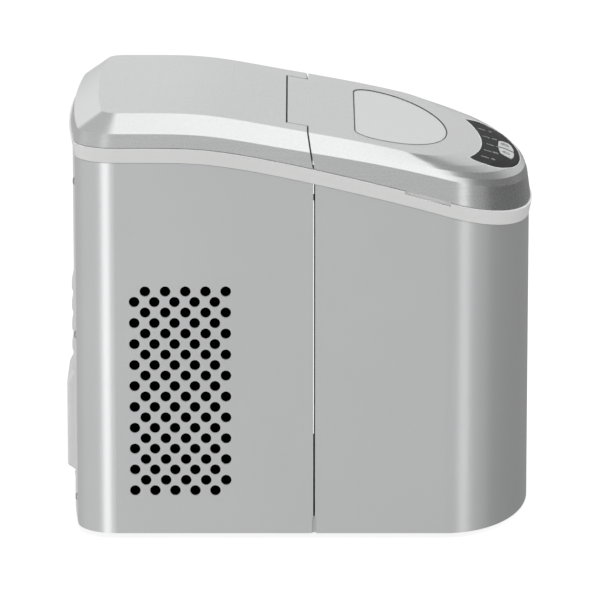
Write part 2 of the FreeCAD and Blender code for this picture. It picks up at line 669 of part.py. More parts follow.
drain = Part.makeCylinder(5, 26, V(90, drain_y, drain_z), X_AXIS).cut(
    Part.makeCylinder(3.4, 26, V(90, drain_y, drain_z), X_AXIS))
drain = drain.fuse(Part.makeCylinder(6.2, 4.4, V(112.4, drain_y, drain_z), X_AXIS).cut(
    Part.makeCylinder(3.4, 6, V(112, drain_y, drain_z), X_AXIS)))
node(shaped(drain), "drain_outlet")
plug = fuse(rod(("106", "-60", "34"), "3.35", "11.5", "x"), rod(("117.1", "-60", "34"), "6.4", "2.6", "x"))
node(plug, "drain_plug")

# Evaporator: a cold block with nine fingers, under a cover that also holds the tray's bearings.
cold = new_body("cold_block")
pad(cold, rectangle(cold, "XY_Plane", "finger_pitch * 4 + 16", "row_one - row_two + 18"), "block_height")
node(place(cold, ("0", "(row_one + row_two) / 2", "block_level")), "evaporator_block")
fingers = []
for y, count in (("row_one", 5), ("row_two", 4)):
    for number in range(count):
        x = "finger_pitch * %s" % (number - (count - 1) / 2)
        shank = rod((x, y, "block_level - finger_length + finger_radius"), "finger_radius",
                    "finger_length - finger_radius")
        nose = doc.addObject("Part::Sphere", "nose")
        bind(nose, {"Radius": "finger_radius"})
        place(nose, (x, y, "block_level - finger_length + finger_radius"))
        fingers.append(fuse(shank, nose))
node(group(*fingers), "freezing_fingers")

loop = [V(66, -13.5, 256 + 2.9), V(40, -60, 256 + 2.9), V(-20, -60, 256 + 2.9), V(-46, -69, 256 + 2.9),
        V(-20, -78, 256 + 2.9), V(46, -78, 256 + 2.9)]
node(shaped(tube(loop, 2.6)), "evaporator_tube")

cover_box = slab(-67, 67, -91, -14.9, 228, 264.5).cut(slab(-65, 65, -89, -16.9, 227, 262.5))
for x in range(-48, 49, 16):
    cover_box = cover_box.cut(slab(x - 1, x + 1, -86, -20, 263.9, 265))
cover_box = cover_box.cut(slab(-REACH, REACH, -95, -62, 0, 246)).cut(slab(-REACH, REACH, -34, 0, 0, 250))
for side in (-1, 1):
    cover_box = cover_box.cut(Part.makeCylinder(2.6, 10, V(side * 66 - 5, -46, 240), X_AXIS))
cover_box = cover_box.cut(Part.makeCylinder(3.2, 12, V(SPOUT_X, -22, SPOUT_Z), Y_AXIS))
cover_box = cover_box.cut(slab(56, 70, -30, -10, 250, 262.4))
node(shaped(cover_box), "evaporator_cover")
spout = tube([V(SPOUT_X, 6, SPOUT_Z), V(SPOUT_X, -50, SPOUT_Z), V(SPOUT_X, -52, 242.5)], 2.4)
node(shaped(spout), "water_inlet")

# Water tray: tips back about its rear edge to let the ice fall.
TRAY_SIDE = ((-94.5, 240), (-94.5, 214), (-86, 208), (-56, 208), (-51.5, 213), (-49, 240))
TRAY_INNER = ((-92.5, 241), (-92.5, 215), (-85, 210), (-57, 210), (-53.5, 214), (-51, 241))


outer_tray = prism(TRAY_SIDE, 62)
inner_tray = prism(TRAY_INNER, 60)
tray = outer_tray.cut(inner_tray)
for side in (-1, 1):
    lug = slab(*sorted((side * 60, side * 62)), -52, -42, 230, 244)
    tray = tray.fuse(lug)
    tray = tray.fuse(Part.makeCylinder(2.5, 8, V(62 if side > 0 else -70, -46, 240), X_AXIS))
node(shaped(tray.removeSplitter()), "water_tray")
motor = fuse(block(("67.4", "-60", "226"), 22, 28, 30), rod(("89.4", "-46", "241"), 8, 3, "x"))
motor = cut(motor, rod(("66", "-46", "240"), "2.55", "6", "x"))
node(motor, "tray_motor")
chute = prism(((-17, 178), (-96.5, 152), (-96.5, 150), (-17, 176)), 96)
for number in range(21):
    x = -90 + number * 9
    chute = chute.cut(slab(x - 2, x + 2, -90, -24, 100, 200))
node(shaped(chute), "ice_chute")

# Ice basket and scoop.
half, back = size["basket_half"], size["basket_back"]


def basket_plan(inset):
    nose = Part.Ellipse(V(half - inset, back - 6, 0), V(0, back - 50 + inset, 0), V(0, back - 6, 0))
    edges = [Part.ArcOfEllipse(nose, 0, math.pi).toShape(),
             Part.LineSegment(V(-half + inset, back - 6, 0), V(-half + inset, back - inset, 0)).toShape(),
             Part.LineSegment(V(-half + inset, back - inset, 0), V(half - inset, back - inset, 0)).toShape(),
             Part.LineSegment(V(half - inset, back - inset, 0), V(half - inset, back - 6, 0)).toShape()]
    return Part.Wire(edges)


def lifted(plan, z0, z1):
    solid = Part.Face(plan).extrude(V(0, 0, z1 - z0))
    solid.translate(V(0, 0, z0))
    return solid


low_z, high_z = size["basket_bottom"], size["basket_top"]
basket = lifted(basket_plan(0), low_z, high_z)
rim_plate = lifted(basket_plan(-6), high_z - 6, high_z - 4)
rim_plate = rim_plate.common(slab(-REACH, REACH, -REACH, back, 0, REACH))
basket = basket.fuse(rim_plate).cut(lifted(basket_plan(2), low_z + 2, REACH))
basket = basket.cut(slab(-66, 66, back - 3, back + 1, 152, REACH))
for row in range(3):
    z = low_z + 8 + row * 12
    for number in range(11):
        x = -60 + number * 12
        basket = basket.cut(slab(x - 2, x + 2, back - 3, back + 1, z, z + 8))
for number in range(9):
    x = -48 + number * 12
    for y in (-110, -122, -134):
        if (x / half) ** 2 + ((y - back + 6) / 44.0) ** 2 < 0.72:
            basket = basket.cut(slab(x - 4, x + 4, y - 1.5, y + 1.5, low_z - 1, low_z + 3))
node(shaped(basket), "ice_basket")
scoop = slab(-48, 6, -131, -104, low_z + 2.3, low_z + 26)
scoop = scoop.cut(slab(-46, 8, -129, -106, low_z + 4.3, low_z + 27))
back_wall = slab(4, 6, -131, -104, low_z + 2.3, low_z + 26)
scoop = scoop.fuse(back_wall).cut(slab(-50, -40, -135, -100, low_z + 12, low_z + 30))
handle = slab(6, 50, -123, -112, low_z + 16, low_z + 22).cut(slab(36, 44, -120, -115, low_z, low_z + 30))
node(shaped(scoop.fuse(handle)), "ice_scoop")

sensor_box = block(("-98.8", "-70", "40"), 5.5, 15, 50)
node(sensor_box, "water_level_sensor")
node(group(block(("-98.4", "-112", "224"), 6, 10, 10), block(("92.4", "-112", "224"), 6, 10, 10)),
     "ice_full_sensors")

# ---------------------------------------------------------------- machine side
plate = new_body("mount_plate_body")
plate_side = "mount_plate"
pad(plate, rectangle(plate, "XY_Plane", plate_side, plate_side), "sheet_metal")
corner_holes = circle(plate, "XY_Plane", 3, "0", "mount_plate / 2 - 8", "mount_plate / 2 - 8")
pocket(plate, corner_holes, 5)
node(place(plate, ("compressor_side", "compressor_back", "tray_floor_top")), "compressor_plate")
grommets = []
for dx in (-1, 1):
    for dy in (-1, 1):
        grommets.append(rod(("compressor_side + %d" % (dx * 40), "compressor_back + %d" % (dy * 40),
                             "tray_floor_top + sheet_metal"), 6, 8))
node(group(*grommets), "compressor_grommets")
base_z = "tray_floor_top + sheet_metal + 8"
can_z = base_z + " + 2"
can = rod(("compressor_side", "compressor_back", can_z), "compressor_radius", "compressor_height")
can_soft = doc.addObject("Part::Fillet", "can_soft")
can_soft.Base = can
doc.recompute()
can_soft.Edges = [(i + 1, 16.0, 16.0) for i, edge in enumerate(can.Shape.Edges)
                  if isinstance(edge.Curve, Part.Circle) and edge.CenterOfMass.z > 100]
feet_plate = block(("compressor_side - 46", "compressor_back - 46", base_z), 92, 92, 2)
ports = [rod(("compressor_side - 20", "compressor_back - 20", "compressor_height"), 4, 34),
         rod(("compressor_side + 24", "compressor_back - 10", "compressor_height"), 4, 34)]
can_hollow = rod(("compressor_side", "compressor_back", can_z + " + 3"), "compressor_radius - 3",
                 "compressor_height - 22")
core_block = rod(("compressor_side", "compressor_back", can_z + " + 2"), "compressor_radius - 22",
                 "compressor_height - 50")
can_shell = cut(can_soft, cut(can_hollow, core_block))
node(fuse(can_shell, feet_plate, *ports), "compressor")
terminal = block(("compressor_side - 16", "compressor_back + compressor_radius - 1", "60"), 32, 17, 34)
socket = rod(("compressor_side", "compressor_back", "50"), "compressor_radius + 0.05", 60)
terminal = cut(terminal, socket)
node(terminal, "terminal_box")

core = new_body("condenser_body")
pad(core, rectangle(core, "XY_Plane", "condenser_deep", "condenser_long"), "condenser_high")
slot = pocket(core, rectangle(core, "XY_Plane", "condenser_deep + 2", "condenser_long - 6", "4"), 2.6)
repeat(core, slot, "Z_Axis", "condenser_high - 12", 34)
node(place(core, ("condenser_side", "fan_back", "18")), "condenser")
bends = []
for number in range(8):
    z = 34 + number * 20
    for y in (27.8, 148.2):
        turn = Part.makeTorus(5, 2.6, V(-101, y, z), X_AXIS)
        keep = slab(-120, -80, -20, y, 0, 300) if y < 88 else slab(-120, -80, y, 200, 0, 300)
        bends.append(turn.common(keep))
node(shaped(Part.makeCompound(bends)), "condenser_bends")

shroud = new_body("shroud_body")
pad(shroud, rectangle(shroud, "YZ_Plane", "condenser_long", "condenser_high - 30"), 2.5)
rim_pad = circle(shroud, "YZ_Plane", "fan_radius + 5")
pad(shroud, rim_pad, "fan_depth + 6")
bore = circle(shroud, "YZ_Plane", "fan_radius + 2.5", "-1")
pocket(shroud, bore, "fan_depth + 12")
node(place(shroud, ("shroud_side", "fan_back", "fan_level")), "fan_shroud")

FAN_CENTRE = V(size["shroud_side"], size["fan_back"], size["fan_level"])
fan = Part.makeCylinder(15, size["fan_depth"] - 2, FAN_CENTRE + V(4, 0, 0), X_AXIS)
BLADES, BLADE_PITCH = 7, 32
for number in range(BLADES):
    blade = slab(-0.8, 0.8, -13, 13, 12, size["fan_radius"])
    blade = blade.common(Part.makeCylinder(size["fan_radius"], 40, V(-20, 0, 0), X_AXIS))
    blade.rotate(V(0, 0, 0), Z_AXIS, 90 - BLADE_PITCH)
    blade = blade.common(slab(-5.6, 5.6, -60, 60, 0, 100))
    blade.rotate(V(0, 0, 0), X_AXIS, number * 360 / BLADES)
    blade.translate(FAN_CENTRE + V(11, 0, 0))
    fan = fan.fuse(blade)
fan = fan.cut(Part.makeCylinder(2, 60, FAN_CENTRE + V(6, 0, 0), X_AXIS))
node(shaped(fan), "fan_blades")
fan_motor = fuse(rod(("shroud_side + 20", "fan_back", "fan_level"), 19, 24, "x"),
                 rod(("shroud_side + 10", "fan_back", "fan_level"), 1.9, 12, "x"))
node(fan_motor, "fan_motor")
arms = []
for angle in (30, 150, 270):
    arm = slab(-66 - 0.1, -63.5, -4, 4, 19.2, size["fan_radius"] + 4)
    arm.rotate(V(0, 0, 0), X_AXIS, angle)
    arm.translate(V(4.1, size["fan_back"], size["fan_level"]))
    arms.append(arm)
arm_ring = Part.makeCylinder(21, 2.5, V(-62, size["fan_back"], size["fan_level"]), X_AXIS).cut(
    Part.makeCylinder(19.1, 6, V(-63, size["fan_back"], size["fan_level"]), X_AXIS))
node(shaped(arm_ring.fuse(arms)), "fan_bracket")

pump = fuse(rod(("0", "23", "tray_floor_top"), 17, 22), rod(("0", "23", "tray_floor_top + 22"), 20, 16))
pump = cut(pump, rod(("0", "23", "tray_floor_top + 24"), 16.5, 12))
node(pump, "pump_housing")
impeller = Part.makeCylinder(4, 9, V(0, 23, 32.5))
for number in range(6):
    vane = slab(2, 15, -0.8, 0.8, 0, 9)
    vane.rotate(V(0, 0, 0), Z_AXIS, number * 60)
    vane.translate(V(0, 23, 32.5))
    impeller = impeller.fuse(vane)
node(shaped(impeller), "pump_impeller")
hose = tube([V(0, 23, 45.2), V(0, 23, 75), V(-20, 22, 110), V(-50, 20, 150), V(SPOUT_X, 20, 200),
             V(SPOUT_X, 20, SPOUT_Z), V(SPOUT_X, 6.3, SPOUT_Z)], 3.4)
node(shaped(hose), "water_hose")

drier = fuse(rod(("92", "40", "70"), 9, 80), cone(("92", "40", "150"), 9, 3.2, 12),
             cone(("92", "40", "58"), 3.2, 9, 12))
node(drier, "filter_drier")
valve = fuse(block(("52", "16", "150"), 26, 22, 30), rod(("65", "27", "180"), 5, 14))
node(valve, "hot_gas_valve")
R = size["line_radius"]
discharge = tube([V(12, 80, 164.3), V(12, 80, 196), V(-30, 70, 214), V(-80, 50, 214), V(-101, 40, 206),
                  V(-101, 40, 195)], R)
node(shaped(discharge), "discharge_line")
suction = tube([V(56, 90, 164.3), V(56, 90, 200), V(66, 60, 230), V(66, 20, 256), V(66, -10.5, 258.5)], R)
node(shaped(suction), "suction_line")
capillary = tube([V(92, 40, 162.3), V(92, 40, 200), V(86, 24, 225), V(68, 27, 225), V(65, 27, 194.3)], 1.5)
node(shaped(capillary), "capillary_line")

board = new_body("board_body")
pad(board, rectangle(board, "XY_Plane", 120, 84), 1.6)
for across in ("-55", "55"):
    for up in ("-37", "37"):
        pocket(board, circle(board, "XY_Plane", 2, "-1", across, up), 4)
node(place(board, ("0", "100", "board_level")), "main_board")
parts_on_board = [block(("-40", "70", "board_level + 1.6"), 30, 24, 22),
                  block(("4", "74", "board_level + 1.6"), 16, 16, 15),
                  rod(("40", "84", "board_level + 1.6"), 8, 24),
                  rod(("40", "112", "board_level + 1.6"), 6, 18),
                  block(("-30", "112", "board_level + 1.6"), 44, 14, 10)]
node(group(*parts_on_board), "board_components")
posts = [rod((x, y, "board_level - 6"), 3.4, 6) for x in (-55, 55) for y in (63, 137)]
shelf = fuse(block(("-66", "54", "board_level - 8"), 132, 92, 2),
             block(("-66", "54", "board_level - 6"), 132, 2, 10),
             block(("-66", "144", "board_level - 6"), 132, 2, 10), *posts)
node(shelf, "board_shelf")
leg_height = "board_level - tray_floor_top - 8"
shelf_legs = [block((x, "140", "tray_floor_top"), 8, 6, leg_height) for x in (-64, 90)]
shelf_bars = [block(("-64", "138", "board_level - 11"), 162, 8, 2.8)]
node(fuse(*shelf_legs, *shelf_bars), "shelf_frame")

gland = fuse(cone((GLAND[0], "rear_apex - 1.6", GLAND[1]), 8, 6.3, 7.6, "y"),
             rod((GLAND[0], "162", GLAND[1]), 6, 11, "y"))
gland = cut(gland, rod((GLAND[0], "150", GLAND[1]), 3.6, 40, "y"))
node(gland, "cable_gland")
feet = []
for x, y in FOOT_PLACES:
    foot = fuse(rod((x, y, 0), "foot_radius", "foot_height"), rod((x, y, "foot_height"), 3, 2))
    feet.append(cut(foot, rod((x, y, -1), 4, 2.4)))
node(group(*feet), "rubber_feet")

# ---------------------------------------------------------------- checks, then one file for each node
doc.recompute()
for item in doc.Objects:
    if "Invalid" in item.State or "Error" in item.State:
        raise SystemExit("%s did not compute: %s" % (item.Label, item.State))
os.makedirs("parts", exist_ok=True)
for item in NODES:
    if item.Shape.isNull() or not item.Shape.isValid():
        raise SystemExit("%s has no valid shape" % item.Label)
    item.Shape.exportStep("parts/%s.step" % item.Label)
print("%d nodes written" % len(NODES))
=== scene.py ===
# %% [markdown]
# # A countertop ice maker
# The machine's metalwork, mouldings and moving bodies come from a fixed frame of CAD parts.
# Here they get their finishes, and the small things that a mould, a printer or a screwdriver
# adds: the bead round the control panel, the symbols, the gasket, the screws. Everything is in
# metres.

# %% Load the frame and keep its size
import bmesh
import bpy
import math
from mathutils import Matrix, Vector
from mathutils.bvhtree import BVHTree


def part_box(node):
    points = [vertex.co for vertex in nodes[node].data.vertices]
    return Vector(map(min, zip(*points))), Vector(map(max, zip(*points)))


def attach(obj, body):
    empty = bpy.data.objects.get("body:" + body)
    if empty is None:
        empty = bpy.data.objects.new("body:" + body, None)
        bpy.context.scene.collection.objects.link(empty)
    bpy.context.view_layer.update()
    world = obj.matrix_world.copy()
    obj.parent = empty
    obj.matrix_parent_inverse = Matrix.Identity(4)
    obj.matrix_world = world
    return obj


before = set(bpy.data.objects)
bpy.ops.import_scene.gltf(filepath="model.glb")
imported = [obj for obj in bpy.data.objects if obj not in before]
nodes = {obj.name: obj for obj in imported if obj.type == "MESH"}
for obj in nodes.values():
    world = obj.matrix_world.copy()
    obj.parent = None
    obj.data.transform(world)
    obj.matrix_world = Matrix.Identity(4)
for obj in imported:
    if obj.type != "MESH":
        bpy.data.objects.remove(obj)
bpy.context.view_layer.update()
MM = 0.001

# %% [markdown]
# ## The camera
# A product picture of this kind is taken with a long lens from well back, so that upright edges
# stay upright and the near side isn't swollen. The camera stands off the machine's left side and
# looks down on it a little.

# %% Place the camera
SENSOR_WIDTH = 36
LENS_LENGTH = 378.5
CAMERA_PLACE = (-4.7185, -0.001, 1.377)
CAMERA_PITCH = 14.5

camera_data = bpy.data.cameras.new("camera")
camera_data.sensor_width = SENSOR_WIDTH
camera_data.lens = LENS_LENGTH
camera_data.clip_end = 50
camera = bpy.data.objects.new("camera", camera_data)
camera.location = CAMERA_PLACE
camera.rotation_euler = (math.radians(90 - CAMERA_PITCH), 0, math.radians(-90))
bpy.context.collection.objects.link(camera)
bpy.context.scene.camera = camera
bpy.context.scene.view_settings.view_transform = "Standard"
print("camera stands", round(camera.location.length, 2), "m away")

# %% [markdown]
# ## The studio
# Smooth lacquer is mostly a picture of the room, so the room is built first. A pale sheet lies
# under the machine and curves up all round it, like a bowl, which keeps the background even from
# every side. It could be a flat plane, but then its far edge would show as a line.


# %% A pale floor that curves up all round
def studio_floor():
    flat, bend, height = 8.0, 3.0, 7.0
    around_steps, bend_steps = 64, 10
    profile = [(1.0, 0.0), (flat, 0.0)]
    for step in range(1, bend_steps + 1):
        angle = math.radians(90) * step / bend_steps
        profile.append((flat + bend * math.sin(angle), bend - bend * math.cos(angle)))
    profile.append((flat + bend, height))
    mesh = bmesh.new()
    rings = []
    for radius, level in profile:
        turns = [math.tau * i / around_steps for i in range(around_steps)]
        rings.append([mesh.verts.new((radius * math.cos(t), radius * math.sin(t), level)) for t in turns])
    middle = mesh.verts.new((0, 0, 0))
    for i in range(around_steps):
        after = (i + 1) % around_steps
        mesh.faces.new((middle, rings[0][i], rings[0][after]))
        for low, high in zip(rings, rings[1:]):
            mesh.faces.new((low[i], high[i], high[after], low[after]))
    for face in mesh.faces:
        face.smooth = True
    data = bpy.data.meshes.new("studio_floor")
    mesh.to_mesh(data)
    mesh.free()
    floor = bpy.data.objects.new("studio_floor", data)
    bpy.context.collection.objects.link(floor)
    return floor


PAPER_GREY = 0.35
PAPER_GLOW = 0.8

floor = studio_floor()
paper = bpy.data.materials.new("white paper")
paper.use_nodes = True
paper_shader = paper.node_tree.nodes["Principled BSDF"]
paper_shader.inputs["Base Color"].default_value = (PAPER_GREY, PAPER_GREY, PAPER_GREY, 1)
paper_shader.inputs["Roughness"].default_value = 1.0
paper_shader.inputs["Specular IOR Level"].default_value = 0.0
paper_shader.inputs["Emission Color"].default_value = (1, 1, 1, 1)
paper_shader.inputs["Emission Strength"].default_value = PAPER_GLOW
floor.data.materials.append(paper)
floor.visible_diffuse = False
floor.visible_glossy = False
floor.visible_shadow = False
print("floor has", len(floor.data.polygons), "faces")

# %% [markdown]
# ## Light
# One large soft box overhead whitens the sloping shoulders, and a low card beyond the machine is
# mirrored in its flat top. Two tall boxes stand where the rounded corners of the body mirror them,
# and draw the upright streaks; a wide dim glow beside each lets the streak fade out slowly. Wide
# fills above, in front and behind light the matt mouldings and are left out of the mirror image.
# Fewer lights would be simpler, but a streak and its fade can't both come from one box.

# %% Soft boxes
MIDDLE = (0, 0, 0.15)
LID_MIDDLE = (0, 0, 0.2)


def around(azimuth, distance, height):
    """A place round the machine: azimuth 0 is off its left side, positive towards its back."""
    angle = math.radians(azimuth)
    return (-distance * math.cos(angle), distance * math.sin(angle), height)


def soft_box(name, place, aim, width, height, watts, mirrored=True):
    data = bpy.data.lights.new(name, "AREA")
    data.shape = "RECTANGLE"
    data.size = width
    data.size_y = height
    data.energy = watts
    light = bpy.data.objects.new(name, data)
    light.location = place
    light.rotation_euler = (Vector(aim) - Vector(place)).to_track_quat("-Z", "Y").to_euler()
    light.visible_glossy = mirrored
    light.visible_camera = False
    bpy.context.collection.objects.link(light)


STREAK_HEIGHT = 2.2
STREAK_LEVEL = -0.3
STREAK_DISTANCE = 2.8


def streak_box(name, azimuth, width, watts):
    """A tall box beside the machine, which the rounded corners mirror."""
    soft_box(name, around(azimuth, STREAK_DISTANCE, STREAK_LEVEL), MIDDLE, width, STREAK_HEIGHT, watts)


soft_box("overhead box", around(-48, 1.6, 2.9), LID_MIDDLE, width=4.2, height=4.0, watts=30)
soft_box("far card", around(180, 3.2, 0.95), MIDDLE, width=5.0, height=1.3, watts=7.5)
soft_box("top fill", around(0, 0.3, 3.0), LID_MIDDLE, width=1.6, height=1.6, watts=24, mirrored=False)
streak_box("rear streak", azimuth=29, width=1.10, watts=11)
streak_box("rear glow", azimuth=80, width=3.4, watts=2.6)
streak_box("front streak", azimuth=-45, width=0.90, watts=3.3)
streak_box("front glow", azimuth=-62, width=3.0, watts=3.2)
soft_box("front fill", around(-90, 3.0, 1.0), MIDDLE, width=4.5, height=2.0, watts=42, mirrored=False)
soft_box("rear fill", around(90, 3.0, 1.0), MIDDLE, width=4.5, height=2.0, watts=26, mirrored=False)


# %% The room's own light, dim in front of the machine
TOWARDS_BACK = (-0.34, 0.94, 0)


def room(bright, dim):
    """A world whose light fades from bright behind the machine to dim in front of it."""
    world = bpy.data.worlds.new("room")
    world.use_nodes = True
    tree = world.node_tree
    place = tree.nodes.new("ShaderNodeTexCoord")
    along = tree.nodes.new("ShaderNodeVectorMath")
    along.operation = "DOT_PRODUCT"
    along.inputs[1].default_value = TOWARDS_BACK
    level = tree.nodes.new("ShaderNodeMapRange")
    level.interpolation_type = "SMOOTHSTEP"
    level.inputs["From Min"].default_value = -1.0
    level.inputs["From Max"].default_value = -0.05
    level.inputs["To Min"].default_value = dim
    level.inputs["To Max"].default_value = bright
    tree.links.new(place.outputs["Generated"], along.inputs[0])
    tree.links.new(along.outputs["Value"], level.inputs["Value"])
    tree.links.new(level.outputs["Result"], tree.nodes["Background"].inputs["Strength"])
    tree.nodes["Background"].inputs["Color"].default_value = (1, 1, 1, 1)
    return world


bpy.context.scene.world = room(bright=0.42, dim=0.07)
print("the room is dim in front of the machine")

# %% [markdown]
# ## Finishes
# Each finish is built from nodes. Two sizes of noise do most of the work: a coarse one, centimetres
# across, shifts the colour a touch, as a moulding's skin does, and a fine one, tenths of a
# millimetre, breaks up the gloss and gives the grain a little height. A picture of each surface
# could be wrapped on instead, but noise needs no unwrapping and stays sharp close up.


# %% A class that every finish starts from
class Finish:
    """A procedural finish; grain is how many features a metre, height is in millimetres."""

    def __init__(self, name, colour, roughness, metallic=0.0, shift=0.03, grain=1200.0, height=0.01,
                 spread=0.05):
        self.material = bpy.data.materials.new(name)
        self.material.use_nodes = True
        self.tree = self.material.node_tree
        self.shader = self.tree.nodes["Principled BSDF"]
        self.place = self.tree.nodes.new("ShaderNodeTexCoord").outputs["Object"]
        self.set("Metallic", metallic)
        darker = tuple(c * (1 - shift) for c in colour)
        lighter = tuple(min(1.0, c * (1 + shift)) for c in colour)
        self.tone = self.ramp(self.noise(14, 3), [darker, lighter])
        self.fine = self.noise(grain, 2)
        self.gloss = self.range(self.fine, max(0.02, roughness - spread), min(1.0, roughness + spread))
        self.relief = None
        self.emboss(self.fine, height)
        self.wire()

    def set(self, socket, value):
        self.shader.inputs[socket].default_value = value
        return self

    def link(self, output, socket):
        self.tree.links.new(output, socket)

    def wire(self):
        self.link(self.tone, self.shader.inputs["Base Color"])
        self.link(self.gloss, self.shader.inputs["Roughness"])
        self.link(self.relief, self.shader.inputs["Normal"])
        return self

    def stretched(self, scale):
        node = self.tree.nodes.new("ShaderNodeMapping")
        node.inputs["Scale"].default_value = scale
        self.link(self.place, node.inputs["Vector"])
        return node.outputs["Vector"]

    def noise(self, scale, detail, vector=None):
        node = self.tree.nodes.new("ShaderNodeTexNoise")
        node.inputs["Scale"].default_value = scale
        node.inputs["Detail"].default_value = detail
        self.link(vector or self.place, node.inputs["Vector"])
        return node.outputs["Fac"]

    def cells(self, scale, feature="F1"):
        node = self.tree.nodes.new("ShaderNodeTexVoronoi")
        node.feature = feature
        node.inputs["Scale"].default_value = scale
        self.link(self.place, node.inputs["Vector"])
        return node

    def range(self, source, low, high, start=0.3, end=0.7):
        node = self.tree.nodes.new("ShaderNodeMapRange")
        for socket, value in (("From Min", start), ("From Max", end), ("To Min", low), ("To Max", high)):
            node.inputs[socket].default_value = value
        self.link(source, node.inputs["Value"])
        return node.outputs["Result"]

    def ramp(self, source, colours, start=0.3, end=0.7):
        node = self.tree.nodes.new("ShaderNodeValToRGB")
        for element, colour, stop in zip(node.color_ramp.elements, colours, (start, end)):
            element.color = tuple(colour[:3]) + (1,)
            element.position = stop
        self.link(source, node.inputs["Fac"])
        return node.outputs["Color"]

    def mixed(self, factor, first, second):
        """Colour mix by a texture."""
        node = self.tree.nodes.new("ShaderNodeMix")
        node.data_type = "RGBA"
        self.link(factor, node.inputs["Factor"])
        for source, socket in ((first, node.inputs[6]), (second, node.inputs[7])):
            if isinstance(source, tuple):
                socket.default_value = source + (1,)
            else:
                self.link(source, socket)
        return node.outputs[2]

    def emboss(self, source, height):
        """Add a relief, height in millimetres, on top of the ones before."""
        node = self.tree.nodes.new("ShaderNodeBump")
        node.inputs["Strength"].default_value = 0.6
        node.inputs["Distance"].default_value = height * MM
        self.link(source, node.inputs["Height"])
        if self.relief is not None:
            self.link(self.relief, node.inputs["Normal"])
        self.relief = node.outputs["Normal"]
        return self


def dress(finish, *names):
    """Give CAD pieces a finish."""
    for name in names:
        nodes[name].data.materials.clear()
        nodes[name].data.materials.append(finish.material)
    print(finish.material.name, "on", len(names), "pieces")


# %% [markdown]
# ### Silver lacquer
# The body and the lid are sprayed with a silver lacquer: fine metal flakes in a clear binder, satin
# rather than mirror-bright. A partly metallic shader gives the streaks and the even grey. Small
# Voronoi cells stand for the flakes, each a little brighter or darker than the next, and a slow
# ripple stands for the slight orange peel that every sprayed coat has. On the lid's upright edge,
# noise stretched along the level makes brush lines that run round it. These lines are mixed towards
# dark grey only where the surface faces sideways, so they are brush lines and painted shade on the upright
# sides together.


# %% Sprayed and brushed silver, with painted shade on upright faces
def lacquer(name, colour, roughness, metallic, brushed=0.0):
    made = Finish(name, colour, roughness, metallic=metallic, shift=0.012, grain=2600, height=0.0004,
                  spread=0.02)
    made.set("Coat Weight", 0.12)
    made.set("Coat Roughness", 0.22)
    flakes = made.cells(2400).outputs["Color"]
    grey = made.tree.nodes.new("ShaderNodeRGBToBW")
    made.link(flakes, grey.inputs["Color"])
    flake = made.range(grey.outputs["Val"], 0.0, 0.06, 0.2, 0.8)
    made.tone = made.mixed(flake, made.tone, (0.95, 0.96, 0.97))
    made.emboss(made.noise(220, 2), 0.004)
    if brushed:
        lines = made.noise(1.0, 4, made.stretched((10, 10, 2600)))
        upright = made.tree.nodes.new("ShaderNodeNewGeometry")
        parts = made.tree.nodes.new("ShaderNodeSeparateXYZ")
        made.link(upright.outputs["Normal"], parts.inputs["Vector"])
        # Painted shade: only faces that turn sideways get the darker brush lines, so the lid's upright sides
        # come out darker than its top.
        upright_shade_mask = made.range(parts.outputs["Z"], 1.0, 0.0, 0.12, 0.35)
        shade = made.range(lines, 0.0, brushed, 0.35, 0.65)
        both = made.tree.nodes.new("ShaderNodeMath")
        both.operation = "MULTIPLY"
        made.link(upright_shade_mask, both.inputs[0])
        made.link(shade, both.inputs[1])
        made.tone = made.mixed(both.outputs["Value"], made.tone, (0.22, 0.225, 0.23))
    return made.wire()


body_silver = lacquer("silver lacquer", (0.775, 0.78, 0.785), 0.33, 0.60)
# The lid's brush lines carry painted shade on its upright sides.
lid_silver = lacquer("brushed silver lid", (0.91, 0.915, 0.92), 0.28, 0.90, brushed=0.16)
dress(body_silver, "left_side_panel", "right_side_panel", "front_shell")
dress(lid_silver, "lid_shell", "rear_top_cover")

# %% [markdown]
# ### Light grey mouldings
# The trim band, the back and the base are moulded in light grey plastic. Its skin is a fine spark
# grain that spreads the light evenly, so the band stays pale all the way round while the lacquer
# above and below it turns dark.

# %% Light grey mouldings
pale = Finish("light grey moulding", (0.84, 0.845, 0.84), 0.42, shift=0.015, grain=3200, height=0.012)
trim = Finish("trim moulding", (0.93, 0.93, 0.925), 0.38, shift=0.012, grain=3200, height=0.006)
dress(pale, "rear_panel", "rear_hump", "base_tray")
dress(trim, "trim_band")

# %% [markdown]
# ### Window, panel and buttons
# The window is a smoky acrylic that lets some light through. The control panel is charcoal
# acrylic, printed behind, with a polished face. The buttons are light grey and satin.

# %% Window, panel and buttons
smoke = Finish("smoky acrylic", (0.75, 0.76, 0.76), 0.16, shift=0.012, grain=900, height=0.001, spread=0.02)
smoke.set("Transmission Weight", 0.12).set("IOR", 1.49).set("Coat Weight", 0.5)
milky = Finish("milky clear moulding", (0.80, 0.82, 0.82), 0.25, shift=0.01, grain=1400, height=0.004)
milky.set("Transmission Weight", 0.5).set("IOR", 1.49)
charcoal = Finish("polished charcoal acrylic", (0.009, 0.009, 0.010), 0.40, shift=0.05, grain=2000,
                  height=0.002)
charcoal.set("Specular IOR Level", 0.06)
key_grey = Finish("button moulding", (0.60, 0.61, 0.61), 0.40, shift=0.012, grain=3000, height=0.006)
lamp = Finish("light guide", (0.74, 0.76, 0.75), 0.25, shift=0.02, grain=2000, height=0.002)
lamp.set("Transmission Weight", 0.2)
print_grey = Finish("printed symbols", (0.42, 0.43, 0.43), 0.5, shift=0.05, grain=4000, height=0.003)
dark_print = Finish("dark print", (0.10, 0.105, 0.11), 0.5, shift=0.05, grain=4000, height=0.003)
dress(smoke, "lid_window")
dress(milky, "lid_liner", "ice_scoop")
dress(charcoal, "control_panel")
dress(key_grey, "power_button", "select_button")
dress(lamp, "indicator_lights")

# %% [markdown]
# ### The wet side
# Everything that water touches is white food-safe moulding, nickel plate or clear silicone. The
# nickel over the freezing fingers is slightly warm, and copper tube darkens in patches where it has
# been handled.

